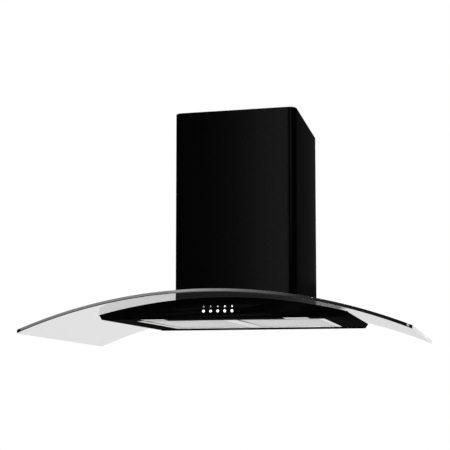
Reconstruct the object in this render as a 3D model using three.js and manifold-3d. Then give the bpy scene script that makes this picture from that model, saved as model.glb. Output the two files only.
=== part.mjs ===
// Curved glass range hood, wall hung, with a black chimney.
// Millimetres. +X runs to the right, +Y runs into the wall, +Z is up.
// The wall is the plane y = 0, so everything lies at y < 0. Heights are first measured from the
// flat underside of the hood; at the end the whole hood is set down so that z = 0 is the middle of
// the wall bracket it hangs on.

import * as THREE from "three";
import { mergeVertices } from "three/addons/utils/BufferGeometryUtils.js";
import Module from "manifold-3d";

const wasm = await Module();
wasm.setup();

// ---------------------------------------------------------------- driving dimensions

const fitGap = 0.3;              // what two touching pieces keep between them

// Glass canopy: one bent sheet, arched across its width
const glassWidth = 760;          // across the back edge
const glassSideTaper = 16;       // how much nearer the middle each side is at the front edge
const glassFront = 517;          // wall to front edge
const glassBack = 6;             // wall to back edge
const glassThickness = 6;
const glassRadius = 973;         // inner radius of the bend
const glassCornerRadius = 5;
const glassNotchRadius = 4;      // inside corners of the notch for the motor housing
const glassNotchMargin = 1.5;
const glassHoleRadius = 4;
const gasketThickness = 1;
const gasketWidth = 10;
const gasketInset = 4;

// Body under the glass: a folded steel tray with a shallow arched section
const bodyWidth = 472;           // across the flat underside
const bodyEndLean = 5.7;         // how far each end leans out on its way up to the glass
const bodyEndHeight = 8.35;      // height of each end, where the arched top comes down
const bodyFront = 406;           // wall to the face of the control panel
const bodyBack = 1;
const bodySheet = 1.2;

// Control panel and its push buttons
const panelDepth = 7;
const panelWall = 2;
const panelGlassGap = 0.5;
const buttonCount = 5;
const buttonPitch = 13.8;
const buttonRowX = -4;           // middle of the row, from the centre line of the hood
const buttonHeight = 13.6;
const buttonRadius = 3.5;
const buttonCrown = 0.6;         // rounding of its rim
const buttonProud = 2.6;
const buttonTravel = 2;
const buttonHoleGap = 0.35;
const buttonFlangeRadius = 5;
const buttonFlangeThickness = 1;
const buttonStemRadius = 2;
const buttonStemLength = 9;
const switchBlockDepth = 18;
const switchBlockHeight = 12;
const switchBlockMargin = 9;     // past the outer buttons
const switchBoardThickness = 1.6;
const switchBoardMargin = 6;

// Grease filters, side by side, each in an aluminium channel
const filterWidth = 189;
const filterDepth = 318;
const filterThickness = 9;
const filterRecess = 2;          // underside of the hood up to the filters
const filterBackMargin = 26;     // wall to the back edge of the filters
const filterGap = 0.8;           // round each filter, and half of that between the two
const channelWidth = 12;
const channelSheet = 0.8;
const filterFrameSheet = 1.2;
const filterFrameLip = 8;
const filterFrameFoot = 6;
const filterRailWidth = 16;
const clipWidth = 18;
const clipSheet = 0.6;
const clipNose = 0.6;            // half the height of its flat nose
const clipShoulder = 2;          // straight end above the nose
const clipOffset = 45;           // clip from the middle of its filter

// Pull handle let into each filter
const pocketWidth = 58;
const pocketLength = 26;
const pocketDepth = 5;
const pocketSheet = 0.8;
const handleWidth = 46;
const handleReach = 17;
const handleRadius = 1.4;
const handlePivotInset = 4;      // pivot from the front wall of the pocket

// Lamps in front of the filters
const lampWidth = 48;
const lampDepth = 42;
const lampInnerX = 116;          // centre line of the hood to the near side of a lamp
const lampBackGap = 6;           // strip of steel between a lamp and the filters
const lampLensThickness = 2.4;
const lampLensRim = 3;
const lampHousingHeight = 12;
const lampHousingWall = 1.2;
const lampBoardThickness = 1.6;
const lampChipWidth = 12;
const lampChipHeight = 1.2;

// Chimney: an outer cover and an inner one that draws up out of it
const chimneyWidth = 253;
const chimneyDepth = 281;        // wall to front face
const chimneyTop = 434;
const chimneySheet = 1;
const chimneyCornerRadius = 15;
const chimneyReturn = 13;        // flange turned in along the wall on each side
const chimneyBackGap = 2.4;      // wall to those flanges
const chimneyGlassGap = 0.5;
const innerCoverGap = 0.5;
const innerCoverTopDrop = 3;
const chimneyBracketHeight = 25;
const chimneyBracketTopDrop = 14;
const chimneyBracketEar = 24;
const bracketSheet = 1.6;

// Motor housing, clamp frame and wall bracket
const housingSideGap = 16.5;     // inside the sides of the chimney
const housingFrontGap = 19;      // behind the front of the chimney
const housingBack = 3;
const housingTop = 275;
const housingSheet = 1.2;
const housingFlange = 9;
const clampHeight = 21;          // glass up to the top of the clamp frame, on the centre line
const clampBase = 2;
const clampWall = 1.5;
const glassScrewRadius = 2;
const glassScrewHeadRadius = 3.8;
const glassScrewHeadHeight = 2.4;
const glassScrewTail = 5;
const glassScrewBackInset = 55;  // wall to the back pair
const glassScrewFrontInset = 225;
const wallBracketWidth = 180;
const wallBracketHeight = 80;
const wallBracketCentre = 200;   // underside of the hood up to the middle of the wall bracket
const wallHookWidth = 22;
const wallHookOffset = 60;
const wallHookRise = 24;         // middle of the bracket up to the top of a hook's shelf
const wallHookLip = 8;
const wallSlotHeight = 14;
const wallHoleRadius = 3.5;
const wallHoleInset = 12;        // from the edges of the plate

// Blower: a scroll casing with a drum impeller, sucking in from both sides
const blowerWidth = 96;
const blowerWall = 1.8;
const blowerFlangeMargin = 5;    // past the outlet collar, under the top of the housing
const blowerFlangeThickness = 2;
const blowerCentreY = -150;
const blowerCentreZ = 158;
const scrollStartRadius = 80;
const scrollEndRadius = 106;
const scrollStartAngle = 75;     // degrees above +Y, where the tongue of the scroll is
const inletRadius = 60;
const impellerRadius = 72;
const impellerWidth = 84;
const impellerBlades = 36;
const bladeDepth = 10;
const bladeThickness = 1;
const bladeAngle = 35;           // degrees, from straight out
const impellerSheet = 2;
const hubRadius = 11;
const hubLength = 24;
const shaftRadius = 4;
const motorRadius = 42;
const motorLength = 50;
const motorBevel = 4;
const shaftInMotor = 46;         // how deep the shaft goes into the motor
const shaftPastHub = 2;
const motorNearEnd = -37;        // x of the end of the motor that lies inside the impeller
const motorArms = 3;
const motorArmWidth = 12;
const motorArmReach = 76;
const motorArmThickness = 2;
const motorRingWidth = 5;
const capacitorRadius = 15;
const capacitorLength = 52;
const capacitorSideGap = 9.8;    // to the side of the housing
const capacitorHeight = 92;

// Outlet collar with its two non-return flaps
const collarRadius = 75;         // outside: a 150 mm duct slides over it
const collarWall = 2;
const collarHeight = 52;
const collarFlange = 8;
const collarFlangeThickness = 2;
const collarCentreY = -93;
const flapAxleRise = 20;         // top of the housing up to the flap axle
const flapAxleRadius = 1.5;
const flapThickness = 1.4;
const flapDrop = 0.1;            // axle down to the top of the flaps
const flapEdgeGap = 1.2;
const flapHingeOffset = 4.4;     // axle to the straight edge of a flap
const flapKnuckleRadius = 2.7;
const flapKnuckleBore = 1.8;
const flapKnuckleLength = 16;
const flapKnuckleInnerX = 20;    // middle of the axle to the near knuckle
const flapKnuckleOuterX = 52;
const flapStopWidth = 10;
const flapStopReach = 4;
const flapStopHeight = 3;

// Terminal box on the motor housing, with the gland where the mains lead goes in
const terminalWidth = 62;
const terminalDepth = 60;
const terminalHeight = 30;
const terminalWall = 2;
const terminalCoverThickness = 2.4;
const terminalSideInset = 7;     // from the left side of the housing
const terminalFrontInset = 14;   // from its front
const glandRadius = 9;
const glandNeckRadius = 7;
const glandNeckProud = 2;        // inside the wall of the box
const glandBore = 4.5;
const glandLength = 16;
const glandNutRadius = 11.5;
const glandNutLength = 5;
const glandNutSides = 6;

// Facets
const arcSteps = 40;             // across the whole glass
const roundSteps = 32;
const collarSteps = 64;
const smallRoundSteps = 16;
const pinSteps = 12;
const cornerSteps = 8;
const scrollSteps = 30;

// How far a cutting solid runs past the faces that it cuts
const past = 1;
const wellPast = 10;

// ---------------------------------------------------------------- materials

const finish = (color, roughness, metalness, extra = {}) =>
  new THREE.MeshStandardMaterial({ color, roughness, metalness, ...extra });

const glass = finish(0xc9d6d2, 0.04, 0, { transparent: true, opacity: 0.35 });
const blackPaint = finish(0x070708, 0.16, 0.1);
const blackPanel = finish(0x030303, 0.08, 0);
const zincSteel = finish(0x9fa3a6, 0.45, 0.9);
const aluminium = finish(0xd9d9d8, 0.35, 0.95);
const brightMetal = finish(0xf2f2f0, 0.12, 1);
const frostedLens = finish(0xeeece6, 0.5, 0);
const blackPlastic = finish(0x17181a, 0.5, 0);
const greyPlastic = finish(0x6d7073, 0.55, 0);
const rubber = finish(0x0d0d0d, 0.85, 0);
const boardGreen = finish(0x1f5a3a, 0.5, 0);

// ---------------------------------------------------------------- shaping tools

// A closed three.js geometry as a solid that can be joined and cut.
function solid(geometry) {
  const bare = geometry.clone();
  bare.deleteAttribute("normal");
  bare.deleteAttribute("uv");
  const merged = mergeVertices(bare, 1e-4);
  return new wasm.Manifold(new wasm.Mesh({
    numProp: 3,
    vertProperties: new Float32Array(merged.attributes.position.array),
    triVerts: new Uint32Array(merged.index.array),
  }));
}

// A solid as a named mesh of the hood.
function piece(name, body, material) {
  const { vertProperties, triVerts } = body.getMesh();
  const geometry = new THREE.BufferGeometry();
  geometry.setAttribute("position", new THREE.BufferAttribute(vertProperties, 3));
  geometry.setIndex(new THREE.BufferAttribute(triVerts, 1));
  geometry.computeVertexNormals();
  const mesh = new THREE.Mesh(geometry, material);
  mesh.name = name;
  return mesh;
}

function block([x0, x1], [y0, y1], [z0, z1]) {
  const geometry = new THREE.BoxGeometry(x1 - x0, y1 - y0, z1 - z0);
  geometry.translate((x0 + x1) / 2, (y0 + y1) / 2, (z0 + z1) / 2);
  return solid(geometry);
}

// A cylinder along X, Y or Z that starts at `start` on its axis and runs `length` along it.
function rod(axis, radius, start, length, steps = smallRoundSteps) {
  const geometry = new THREE.CylinderGeometry(radius, radius, length, steps);
  geometry.translate(0, length / 2, 0);
  if (axis === "x") geometry.rotateZ(-Math.PI / 2);
  if (axis === "z") geometry.rotateX(Math.PI / 2);
  geometry.translate(...start);
  return solid(geometry);
}

const outline = (points) => new THREE.Shape(points.map(([a, b]) => new THREE.Vector2(a, b)));

// An outline in X and Z, drawn out from y0 to y1.
function alongY(points, [y0, y1]) {
  const geometry = new THREE.ExtrudeGeometry(outline(points), { depth: y1 - y0, bevelEnabled: false });
  geometry.rotateX(Math.PI / 2);
  geometry.translate(0, y1, 0);
  return solid(geometry);
}

// An outline in X and Y, drawn out from z0 to z1.
function alongZ(shape, [z0, z1], steps = 6) {
  const settings = { depth: z1 - z0, bevelEnabled: false, curveSegments: steps };
  const geometry = new THREE.ExtrudeGeometry(shape, settings);
  geometry.translate(0, 0, z0);
  return solid(geometry);
}

// An outline in Y and Z, drawn out from x0 to x1.
function alongX(points, [x0, x1]) {
  const geometry = new THREE.ExtrudeGeometry(outline(points), { depth: x1 - x0, bevelEnabled: false });
  geometry.rotateX(Math.PI / 2);
  geometry.rotateZ(Math.PI / 2);
  geometry.translate(x0, 0, 0);
  return solid(geometry);
}

const bodyTopOffset = -gasketThickness - 2 * fitGap;
const bodyTopHalf = bodyWidth / 2 + bodyEndLean;

// Height of the underside of the glass on the centre line, which brings the arched top of the
// body down to bodyEndHeight at its ends.
const bodyTopRadius = glassRadius + bodyTopOffset;
const glassCrown = bodyEndHeight + glassRadius
  - Math.sqrt(bodyTopRadius * bodyTopRadius - bodyTopHalf * bodyTopHalf);

// Height of the surface that lies `offset` above the underside of the glass, at a distance x
// from the centre line. All these surfaces share the centre of the glass bend.
function archHeight(x, offset) {
  const radius = glassRadius + offset;
  return glassCrown - glassRadius + Math.sqrt(radius * radius - x * x);
}

// Points along that surface from x = +halfWidth to x = -halfWidth.
function archPoints(halfWidth, offset) {
  const steps = Math.max(8, Math.round((arcSteps * 2 * halfWidth) / glassWidth));
  return Array.from({ length: steps + 1 }, (_, i) => {
    const x = halfWidth - (2 * halfWidth * i) / steps;
    return [x, archHeight(x, offset)];
  });
}

// Everything between a flat top or bottom at `level` and the arched surface.
const archColumn = (halfWidth, offset, level) =>
  [[-halfWidth, level], [halfWidth, level], ...archPoints(halfWidth, offset)];

// A height range and an upright rod that pass right through the glass and all that lies on it.
const throughGlass = [-100, 200];
const throughRod = (radius, x, y) =>
  rod("z", radius, [x, y, throughGlass[0]], throughGlass[1] - throughGlass[0]);

const union = (solids) => solids.reduce((joined, next) => joined.add(next));
const cut = (body, ...tools) => tools.reduce((left, tool) => left.subtract(tool), body);
const mirrored = (side, [a, b]) => (side > 0 ? [a, b] : [-b, -a]);
const sides = [["left", -1], ["right", 1]];

// ---------------------------------------------------------------- glass canopy

const glassTop = glassThickness;             // offsets from the underside of the glass
const housingHalf = chimneyWidth / 2 - housingSideGap;
const housingFront = chimneyDepth - housingFrontGap;
const notchHalf = housingHalf + glassNotchMargin;
const clampHalf = chimneyWidth / 2 - chimneySheet - 2 * innerCoverGap;
const screwX = (notchHalf + clampHalf) / 2 - clampWall / 3;
const screwPlaces = sides.flatMap(([side, sign]) => [
  [`glass_screw_front_${side}`, sign * screwX, -glassScrewFrontInset],
  [`glass_screw_back_${side}`, sign * screwX, -glassScrewBackInset],
]);

function glassPlan() {
  const back = glassWidth / 2;
  const front = back - glassSideTaper;
  const r = glassCornerRadius;
  const n = glassNotchRadius;
  const notchFront = -housingFront - glassNotchMargin;
  const shape = new THREE.Shape();
  shape.moveTo(-front + r, -glassFront);
  shape.lineTo(front - r, -glassFront);
  shape.quadraticCurveTo(front, -glassFront, front, -glassFront + r);
  shape.lineTo(back, -glassBack - r);
  shape.quadraticCurveTo(back, -glassBack, back - r, -glassBack);
  shape.lineTo(notchHalf, -glassBack);
  shape.lineTo(notchHalf, notchFront + n);
  shape.quadraticCurveTo(notchHalf, notchFront, notchHalf - n, notchFront);
  shape.lineTo(-notchHalf + n, notchFront);
  shape.quadraticCurveTo(-notchHalf, notchFront, -notchHalf, notchFront + n);
  shape.lineTo(-notchHalf, -glassBack);
  shape.lineTo(-back + r, -glassBack);
  shape.quadraticCurveTo(-back, -glassBack, -back, -glassBack - r);
  shape.lineTo(-front, -glassFront + r);
  shape.quadraticCurveTo(-front, -glassFront, -front + r, -glassFront);
  return shape;
}

function glassCanopy() {
  const half = glassWidth / 2 + past;
  const sheet = [...archPoints(half, glassThickness), ...archPoints(half, 0).reverse()];
  const bent = alongY(sheet, [-glassFront - past, 0]);
  const plan = alongZ(glassPlan(), throughGlass, cornerSteps / 2);
  const holes = screwPlaces.map(([, x, y]) => throughRod(glassHoleRadius, x, y));
  return piece("glass_canopy", cut(bent.intersect(plan), ...holes), glass);
}

// ---------------------------------------------------------------- body tray

const trayFront = bodyFront - panelDepth - fitGap;
const intakeHalf = housingHalf - housingFlange;
const intakeY = [-housingFront + housingFlange, -housingBack - housingFlange];

function bodyProfile(inset, topOffset) {
  const bottom = bodyWidth / 2 - inset;
  const top = bodyTopHalf - inset;
  return [[-bottom, inset], [bottom, inset], ...archPoints(top, topOffset - inset)];
}

const filterOuterHalf = filterWidth + filterGap / 2;
const openingHalf = filterOuterHalf + filterGap;
const filterBackY = -filterBackMargin - filterGap;
const filterFrontY = filterBackY - filterDepth;
const openingY = [filterFrontY - filterGap, -filterBackMargin];
const filterBottom = filterRecess;
const filterTop = filterBottom + filterThickness;
const lampY = [openingY[0] - lampBackGap - lampDepth, openingY[0] - lampBackGap];
const lampX = [lampInnerX, lampInnerX + lampWidth];
const buttonX = Array.from({ length: buttonCount },
  (_, i) => buttonRowX + (i - (buttonCount - 1) / 2) * buttonPitch);
const blockX = [buttonX[0] - switchBlockMargin, buttonX[buttonCount - 1] + switchBlockMargin];
const blockZ = [buttonHeight - switchBlockHeight / 2, buttonHeight + switchBlockHeight / 2];

const grow = ([a, b], by) => [a - by, b + by];

function bodyTray() {
  const skin = alongY(bodyProfile(0, bodyTopOffset), [-trayFront, -bodyBack]);
  const hollow = alongY(bodyProfile(bodySheet, bodyTopOffset),
    [-trayFront + bodySheet, -bodyBack - bodySheet]);
  const filterOpening = block([-openingHalf, openingHalf], openingY, [-past, filterTop]);
  const intake = block([-intakeHalf, intakeHalf], intakeY, [filterTop, glassCrown + wellPast]);
  const blockOpening = block(grow(blockX, fitGap), [-trayFront - past, -trayFront + bodySheet + past],
    grow(blockZ, fitGap));
  const lamps = sides.map(([, sign]) =>
    block(mirrored(sign, lampX), lampY, [-past, bodySheet + past]));
  const holes = screwPlaces.map(([, x, y]) =>
    rod("z", glassScrewRadius + fitGap, [x, y, frameTop + past], glassCrown));
  return piece("body_tray", cut(skin, hollow, filterOpening, intake, blockOpening, ...lamps, ...holes),
    blackPaint);
}

// A ring of rubber strip between the tray and the glass, following the edge of the tray.
function glassGasket() {
  const half = bodyTopHalf - gasketInset;
  const frontY = -trayFront + gasketInset;
  const backY = -glassBack - gasketInset;
  const bottomOffset = -gasketThickness - fitGap;
  const band = [...archPoints(half, bottomOffset + gasketThickness),
    ...archPoints(half, bottomOffset).reverse()];
  const inner = half - gasketWidth;
  const middle = block([-inner, inner], [frontY + gasketWidth, backY - gasketWidth], throughGlass);
  const behindHousing = block([-notchHalf, notchHalf], [backY - gasketWidth - past, 0],
    throughGlass);
  return piece("glass_gasket", cut(alongY(band, [frontY, backY]), middle, behindHousing), rubber);
}

// ---------------------------------------------------------------- control panel

const buttonPlaces = buttonX.map((x, i) => [`push_button_${i + 1}`, x]);
const panelBackY = -bodyFront + panelDepth;
const panelInsideY = -bodyFront + panelWall;

function controlPanel() {
  const face = alongY(bodyProfile(0, -panelGlassGap), [-bodyFront, panelBackY]);
  const hollow = alongY(bodyProfile(panelWall, -panelGlassGap), [panelInsideY, panelBackY + past]);
  const holes = buttonX.map((x) => rod("y", buttonRadius + buttonHoleGap,
    [x, -bodyFront - past, buttonHeight], panelWall + 2 * past, roundSteps));
  return piece("control_panel", cut(face, hollow, ...holes), blackPanel);
}

const buttonFlangeY = panelInsideY + fitGap;
const stemStartY = buttonFlangeY + buttonFlangeThickness;
const blockFrontY = stemStartY + buttonTravel + fitGap;
const blockBackY = blockFrontY + switchBlockDepth;

function pushButton(name, x) {
  const headLength = buttonFlangeY + bodyFront + buttonProud;
  const headStart = -bodyFront - buttonProud;
  const profile = [[0, 0], [buttonRadius - buttonCrown, 0], [buttonRadius, buttonCrown],
    [buttonRadius, headLength], [buttonFlangeRadius, headLength],
    [buttonFlangeRadius, headLength + buttonFlangeThickness],
    [buttonStemRadius, headLength + buttonFlangeThickness],
    [buttonStemRadius, headLength + buttonFlangeThickness + buttonStemLength],
    [0, headLength + buttonFlangeThickness + buttonStemLength]];
  const turned = new THREE.LatheGeometry(
    profile.map(([r, l]) => new THREE.Vector2(r, l)), roundSteps);
  turned.translate(x, headStart, buttonHeight);
  return piece(name, solid(turned), brightMetal);
}

function switchBlock() {
  const sockets = buttonX.map((x) => rod("y", buttonStemRadius + fitGap,
    [x, blockFrontY - past, buttonHeight], buttonStemLength + 2 * past));
  return piece("switch_block", cut(block(blockX, [blockFrontY, blockBackY], blockZ), ...sockets),
    blackPlastic);
}

function switchBoard() {
  const front = blockBackY + fitGap;
  return piece("switch_board", block(grow(blockX, switchBoardMargin),
    [front, front + switchBoardThickness], grow(blockZ, switchBoardMargin / 2)), boardGreen);
}

// ---------------------------------------------------------------- filters and their seat

const filterMiddle = filterGap / 2 + filterWidth / 2;
const frameBottom = bodySheet + fitGap;
const frameTop = filterTop + fitGap + filterFrameSheet;
const clipPlaces = [-clipOffset, clipOffset];

function filterFrame() {
  const sheet = filterFrameSheet;
  const outerHalf = openingHalf + sheet;
  const outerY = grow(openingY, sheet);
  const wall = block([-outerHalf, outerHalf], outerY, [frameBottom, frameTop]);
  const footHalf = outerHalf + filterFrameFoot;
  const footFrontY = outerY[0] - sheet;
  const foot = block([-footHalf, footHalf], [footFrontY, outerY[1] + filterFrameFoot],
    [frameBottom, frameBottom + sheet]);
  const inside = block([-openingHalf, openingHalf], openingY, [0, filterTop + fitGap]);
  const lipHalf = openingHalf - filterFrameLip;
  const openTop = (from, to) => block([from, to],
    [openingY[0] + filterFrameLip, openingY[1] - filterFrameLip], [filterTop, frameTop + past]);
  const clipWindows = sides.flatMap(([, sign]) => clipPlaces.map((place) => {
    const x = sign * filterMiddle + place;
    const half = clipWidth / 2 + fitGap;
    return block([x - half, x + half], [footFrontY - past, openingY[0] + past],
      [frameBottom + sheet + fitGap, filterTop]);
  }));
  return piece("filter_frame", cut(wall.add(foot), inside,
    openTop(-lipHalf, -filterRailWidth / 2), openTop(filterRailWidth / 2, lipHalf), ...clipWindows),
  zincSteel);
}

// The pull handle's pocket, as wide as `margin` outside its tray.
function pocketRange(middleX, margin) {
  const half = pocketWidth / 2 + margin;
  const front = filterFrontY + channelWidth - channelSheet;
  return [[middleX - half, middleX + half], [front - margin, front + pocketLength + margin]];
}

const pivotZ = filterBottom + pocketDepth / 2;
const pivotY = filterFrontY + channelWidth - channelSheet + handlePivotInset;

function filterChannel(side, sign) {
  const x = mirrored(sign, [filterGap / 2, filterOuterHalf]);
  const y = [filterFrontY, filterBackY];
  const z = [filterBottom, filterTop];
  const bar = block(x, y, z);
  const groove = block(grow(x, -channelSheet), grow(y, -channelSheet), grow(z, -channelSheet));
  const window = block(grow(x, -channelWidth), grow(y, -channelWidth), grow(z, past));
  const [pocketX, pocketY] = pocketRange(sign * filterMiddle, 0);
  const [trayX, trayY] = pocketRange(sign * filterMiddle, pocketSheet);
  const tray = block(trayX, trayY, [filterBottom, filterBottom + pocketDepth + pocketSheet]);
  const pocket = block(pocketX, pocketY, [filterBottom - past, filterBottom + pocketDepth]);
  const pivotHole = rod("x", handleRadius + fitGap, [trayX[0] - past, pivotY, pivotZ],
    trayX[1] - trayX[0] + 2 * past);
  return piece(`filter_channel_${side}`, cut(cut(bar, groove, window).add(tray), pocket, pivotHole),
    aluminium);
}

function filterMesh(side, sign) {
  const inset = channelSheet + fitGap;
  const x = grow(mirrored(sign, [filterGap / 2, filterOuterHalf]), -inset);
  const y = grow([filterFrontY, filterBackY], -inset);
  const z = grow([filterBottom, filterTop], -inset);
  const [trayX, trayY] = pocketRange(sign * filterMiddle, pocketSheet + fitGap);
  const pivotRoom = handleRadius + 2 * fitGap;
  const pocket = block(grow(trayX, pivotRoom), trayY,
    [filterBottom, filterBottom + pocketDepth + pocketSheet + fitGap]);
  return piece(`filter_mesh_${side}`, cut(block(x, y, z), pocket), aluminium);
}

function filterHandle(side, sign) {
  const middle = sign * filterMiddle;
  const half = handleWidth / 2;
  const pinEnd = pocketWidth / 2 + pocketSheet;
  const bars = [-1, 1].flatMap((end) => [
    rod("y", handleRadius, [middle + end * half, pivotY - handleRadius, pivotZ], handleReach,
      pinSteps),
    rod("x", handleRadius, [middle + (end > 0 ? half - handleRadius : -pinEnd), pivotY, pivotZ],
      pinEnd - half + handleRadius, pinSteps),
  ]);
  const grip = rod("x", handleRadius, [middle - half - handleRadius,
    pivotY + handleReach - 2 * handleRadius, pivotZ], 2 * (half + handleRadius), pinSteps);
  return piece(`filter_handle_${side}`, union([...bars, grip]), brightMetal);
}

// Two leaf springs per filter, behind windows in the frame, whose noses press on its front edge.
function filterClip(name, middle) {
  const back = openingY[0] - filterFrameSheet - fitGap;
  const nose = filterFrontY - fitGap;
  const low = frameBottom + 2 * filterFrameSheet + fitGap;
  const high = filterTop + filterFrameSheet;
  const bend = (low + high) / 2;
  const shoulder = high - clipShoulder;
  const points = [[back - clipSheet, low], [back, low], [nose, bend - clipNose],
    [nose, bend + clipNose], [back, shoulder], [back, high], [back - clipSheet, high],
    [back - clipSheet, shoulder], [nose - clipSheet, bend + clipNose / 2],
    [nose - clipSheet, bend - clipNose / 2]];
  return piece(name, alongX(points, [middle - clipWidth / 2, middle + clipWidth / 2]), zincSteel);
}

// ---------------------------------------------------------------- lamps

function lampPieces(side, sign) {
  const x = mirrored(sign, lampX);
  const lensBottom = bodySheet / 4;
  const rimBottom = bodySheet + fitGap;
  const lensTop = rimBottom + lampLensThickness;
  const window = block(grow(x, -fitGap), grow(lampY, -fitGap), [lensBottom, lensTop]);
  const rim = block(grow(x, lampLensRim), grow(lampY, lampLensRim - fitGap), [rimBottom, lensTop]);
  const lens = piece(`lamp_lens_${side}`, window.add(rim), frostedLens);

  const shellBottom = lensTop + fitGap;
  const shellTop = shellBottom + lampHousingHeight;
  const shell = block(x, lampY, [shellBottom, shellTop]);
  const inside = block(grow(x, -lampHousingWall), grow(lampY, -lampHousingWall),
    [shellBottom - past, shellTop - lampHousingWall]);
  const housing = piece(`lamp_housing_${side}`, shell.subtract(inside), greyPlastic);

  const boardTop = shellTop - lampHousingWall - fitGap;
  const board = block(grow(x, -lampHousingWall - fitGap), grow(lampY, -lampHousingWall - fitGap),
    [boardTop - lampBoardThickness, boardTop]);
  const about = ([a, b]) => grow([(a + b) / 2, (a + b) / 2], lampChipWidth / 2);
  const boardBottom = boardTop - lampBoardThickness;
  const chip = block(about(x), about(lampY), [boardBottom - lampChipHeight, boardBottom]);
  return [lens, housing, piece(`lamp_board_${side}`, board.add(chip), frostedLens)];
}

// ---------------------------------------------------------------- motor housing and its fixings

const housingSeat = bodyTopOffset + fitGap;

// The housing is three sheets: a top plate and a back plate, riveted to a shell that has the
// front, the two sides and a turned-in flange round the intake.
const housingWallTop = housingTop - housingSheet - fitGap;
const housingShellBack = -housingBack - housingSheet - fitGap;

function motorHousing() {
  const outside = alongY(archColumn(housingHalf, housingSeat, housingWallTop),
    [-housingFront, housingShellBack]);
  const inside = alongY(
    archColumn(housingHalf - housingSheet, housingSeat + housingSheet, housingWallTop + wellPast),
    [-housingFront + housingSheet, housingShellBack - housingSheet]);
  const innerHalf = housingHalf - housingSheet;
  const openBack = alongY(
    archColumn(innerHalf, housingSeat + housingSheet, housingWallTop + wellPast),
    [housingShellBack - housingSheet - past, housingShellBack + past]);
  const intake = block([-intakeHalf, intakeHalf], intakeY, [0, glassCrown + wellPast]);
  return piece("motor_housing", cut(outside, inside, openBack, intake), zincSteel);
}

function housingTopPlate() {
  const plate = block([-housingHalf, housingHalf], [-housingFront, -housingBack],
    [housingTop - housingSheet, housingTop]);
  const outlet = rod("z", collarRadius - collarWall, [0, collarCentreY, scrollTop - wellPast],
    2 * wellPast, collarSteps);
  return piece("housing_top_plate", cut(plate, outlet), zincSteel);
}

// The two slots are for the hooks of the wall bracket.
function housingBackPlate() {
  const plate = alongY(archColumn(housingHalf, housingSeat, housingWallTop),
    [-housingBack - housingSheet, -housingBack]);
  const slots = sides.map(([, sign]) => {
    const x = sign * wallHookOffset;
    return block(grow([x, x], wallHookWidth / 2 + fitGap), grow([-housingBack, -housingBack],
      housingSheet + past), [hookShelfTop - wallSlotHeight, hookShelfTop + fitGap]);
  });
  return piece("housing_back_plate", cut(plate, ...slots), zincSteel);
}

const hookShelfTop = wallBracketCentre + wallHookRise;

// A plate that is screwed to the wall first; the housing hangs on its two hooks.
function wallBracket() {
  const plate = block([-wallBracketWidth / 2, wallBracketWidth / 2], [-bracketSheet, 0],
    [wallBracketCentre - wallBracketHeight / 2, wallBracketCentre + wallBracketHeight / 2]);
  const lipFront = -housingBack - housingSheet - fitGap - bracketSheet;
  const hooks = sides.flatMap(([, sign]) => {
    const x = [sign * wallHookOffset - wallHookWidth / 2, sign * wallHookOffset + wallHookWidth / 2];
    return [
      block(x, [lipFront, 0], [hookShelfTop - bracketSheet, hookShelfTop]),
      block(x, [lipFront, lipFront + bracketSheet], [hookShelfTop - bracketSheet,
        hookShelfTop + wallHookLip]),
    ];
  });
  const holeX = wallBracketWidth / 2 - wallHoleInset;
  const holeRise = wallBracketHeight / 2 - wallHoleInset;
  const holes = sides.flatMap(([, sign]) => [-1, 1].map((row) => rod("y", wallHoleRadius,
    [sign * holeX, -bracketSheet - past, wallBracketCentre + row * holeRise],
    bracketSheet + 2 * past)));
  return piece("wall_bracket", cut(union([plate, ...hooks]), ...holes), zincSteel);
}

const clampFront = chimneyDepth - chimneySheet - 2 * innerCoverGap;
const clampTop = glassCrown + glassThickness + clampHeight;

// A U-shaped angle round the housing that holds the glass down and centres the chimney.
function clampFrame() {
  const seat = glassTop + fitGap;
  const outside = alongY(archColumn(clampHalf, seat, clampTop), [-clampFront, -housingBack]);
  const trough = alongY(
    archColumn(clampHalf - clampWall, seat + clampBase, clampTop + wellPast),
    [-clampFront + clampWall, 0]);
  const insideChimney = alongZ(coverPlan(chimneyWidth / 2 - clampHalf), throughGlass, cornerSteps);
  const housingRoom = block([-housingHalf - fitGap, housingHalf + fitGap],
    [-housingFront - fitGap, 0], throughGlass);
  const holes = screwPlaces.map(([, x, y]) => throughRod(glassScrewRadius + fitGap, x, y));
  return piece("clamp_frame", cut(outside.intersect(insideChimney), trough, housingRoom, ...holes),
    zincSteel);
}

function glassScrew(name, x, y) {
  const inner = Math.abs(x) - glassScrewHeadRadius;
  const seat = archHeight(inner, glassTop + fitGap + clampBase) + fitGap;
  const tail = archHeight(Math.abs(x), bodyTopOffset - bodySheet) - glassScrewTail;
  const head = rod("z", glassScrewHeadRadius, [x, y, seat], glassScrewHeadHeight, pinSteps);
  const shank = rod("z", glassScrewRadius, [x, y, tail], seat - tail + past, pinSteps);
  return piece(name, head.add(shank), zincSteel);
}

// ---------------------------------------------------------------- blower

const blowerHalf = blowerWidth / 2;
const scrollTop = housingTop - housingSheet - fitGap;

// The scroll, seen along X: a spiral that opens out as it goes round, then a straight way up.
function scrollOutline(inset, top) {
  const start = THREE.MathUtils.degToRad(scrollStartAngle);
  const points = [];
  for (let i = 0; i <= scrollSteps; i++) {
    const part = i / scrollSteps;
    const angle = start + (2 * Math.PI - start) * part;
    const radius = scrollStartRadius - inset + (scrollEndRadius - scrollStartRadius) * part;
    points.push([blowerCentreY + radius * Math.cos(angle),
      blowerCentreZ + radius * Math.sin(angle)]);
  }
  const tongueY = points[0][0] + (inset > 0 ? 2 * inset : 0);
  return [...points, [blowerCentreY + scrollEndRadius - inset, top], [tongueY, top]];
}

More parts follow.
